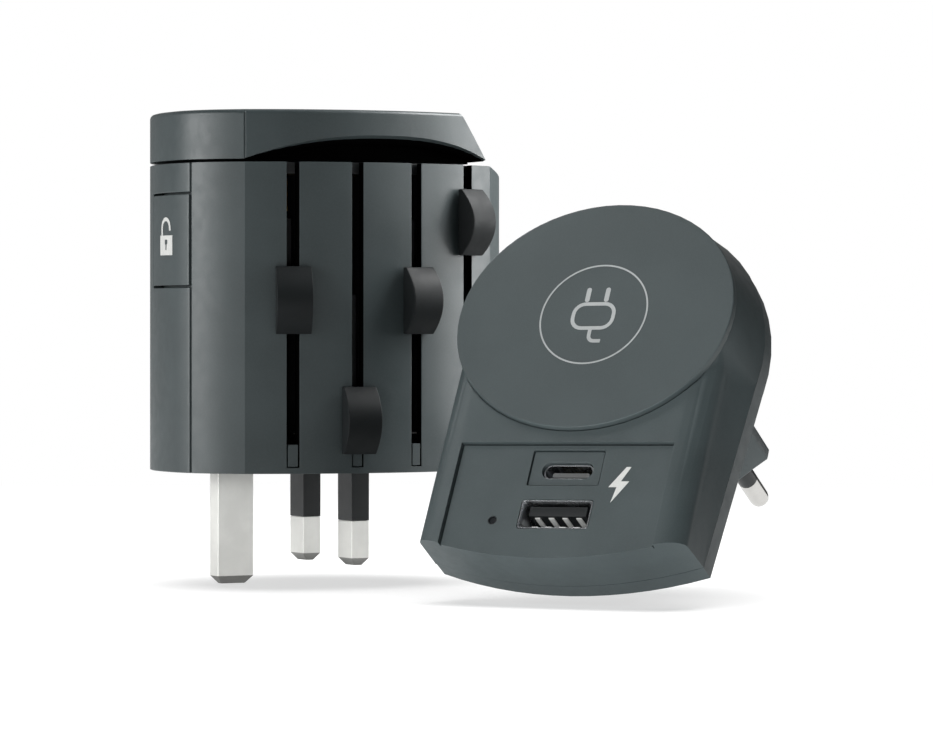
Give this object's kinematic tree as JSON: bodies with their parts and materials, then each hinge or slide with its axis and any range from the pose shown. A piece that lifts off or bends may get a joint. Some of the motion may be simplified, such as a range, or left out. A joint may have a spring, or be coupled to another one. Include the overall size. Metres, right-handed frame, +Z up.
{
  "type": "travel plug adapter",
  "caption": "Travel adapter with sliding retractable plugs, side lock button and a cap socket, with a separate plug-in USB charger.",
  "frame": {"origin": "centre of the adapter's bottom face, the face that meets the wall socket", "axes": "+Z up through the cap, -Y towards the four sliders, -X towards the lock button"},
  "size_m": [0.1125, 0.1493, 0.0957],
  "materials": {
    "grey_plastic": "fine satin texture",
    "black_plastic": "satin",
    "nickel_pins": "bright nickel plate",
    "brass_contacts": "plain stamped",
    "steel": "plain",
    "dark_lens": "gloss",
    "green_board": "solder mask",
    "yellow_tape": "tape wrap",
    "blue_sleeve": "shrink sleeve"
  },
  "bodies": {
    "adapter": {"front_shell": "grey_plastic", "rear_shell": "grey_plastic", "base_plate": "grey_plastic", "chassis": "grey_plastic", "base_screw_1": "steel", "base_screw_2": "steel", "base_screw_3": "steel", "base_screw_4": "steel", "top_cap": "grey_plastic", "socket_plate": "black_plastic", "line_contact": "brass_contacts", "neutral_contact": "brass_contacts", "earth_contact": "brass_contacts", "fuse": "nickel_pins", "slot_guide_1": "black_plastic", "slot_guide_2": "black_plastic", "slot_guide_3": "black_plastic", "slot_guide_4": "black_plastic"},
    "us_plug": {"us_carrier": "black_plastic", "us_blade_line": "nickel_pins", "us_blade_neutral": "nickel_pins", "us_knob": "black_plastic"},
    "uk_plug": {"uk_carrier": "black_plastic", "uk_earth_pin": "nickel_pins", "uk_line_pin": "nickel_pins", "uk_line_sleeve": "black_plastic", "uk_neutral_pin": "nickel_pins", "uk_neutral_sleeve": "black_plastic", "uk_knob": "black_plastic"},
    "au_plug": {"au_carrier": "black_plastic", "au_blade_line": "nickel_pins", "au_blade_neutral": "nickel_pins", "au_knob": "black_plastic"},
    "eu_plug": {"eu_carrier": "black_plastic", "eu_line_pin": "nickel_pins", "eu_line_sleeve": "black_plastic", "eu_neutral_pin": "nickel_pins", "eu_neutral_sleeve": "black_plastic", "eu_knob": "black_plastic"},
    "lock": {"lock_button": "grey_plastic", "lock_spring": "steel"},
    "charger": {"charger_front_shell": "grey_plastic", "charger_disc_cover": "grey_plastic", "charger_rear_shell": "grey_plastic", "charger_plug_body": "grey_plastic", "charger_left_pin": "nickel_pins", "charger_left_sleeve": "black_plastic", "charger_right_pin": "nickel_pins", "charger_right_sleeve": "black_plastic", "charger_usb_a_shell": "steel", "charger_usb_a_tongue": "black_plastic", "charger_usb_c_bezel": "grey_plastic", "charger_usb_c_shell": "steel", "charger_usb_c_tongue": "black_plastic", "charger_status_lens": "dark_lens", "charger_circuit_board": "green_board", "charger_transformer": "yellow_tape", "charger_capacitor": "blue_sleeve"}
  },
  "joints": [
    {"name": "us_slide", "type": "slide", "parent": "adapter", "child": "us_plug", "axis": [0, 0, -1], "range_m": [0, 0.024]},
    {"name": "uk_slide", "type": "slide", "parent": "adapter", "child": "uk_plug", "axis": [0, 0, -1], "range_m": [-0.024, 0]},
    {"name": "au_slide", "type": "slide", "parent": "adapter", "child": "au_plug", "axis": [0, 0, -1], "range_m": [0, 0.024]},
    {"name": "eu_slide", "type": "slide", "parent": "adapter", "child": "eu_plug", "axis": [0, 0, -1], "range_m": [0, 0.04]},
    {"name": "lock_press", "type": "slide", "parent": "adapter", "child": "lock", "axis": [1, 0, 0], "range_m": [0, 0.0015], "stiffness_N_per_m": 900},
    {"name": "charger_unplug", "type": "slide", "parent": "adapter", "child": "charger", "axis": [-0.6916, -0.5046, 0.5168], "range_m": [0, 0.03]}
  ]
}
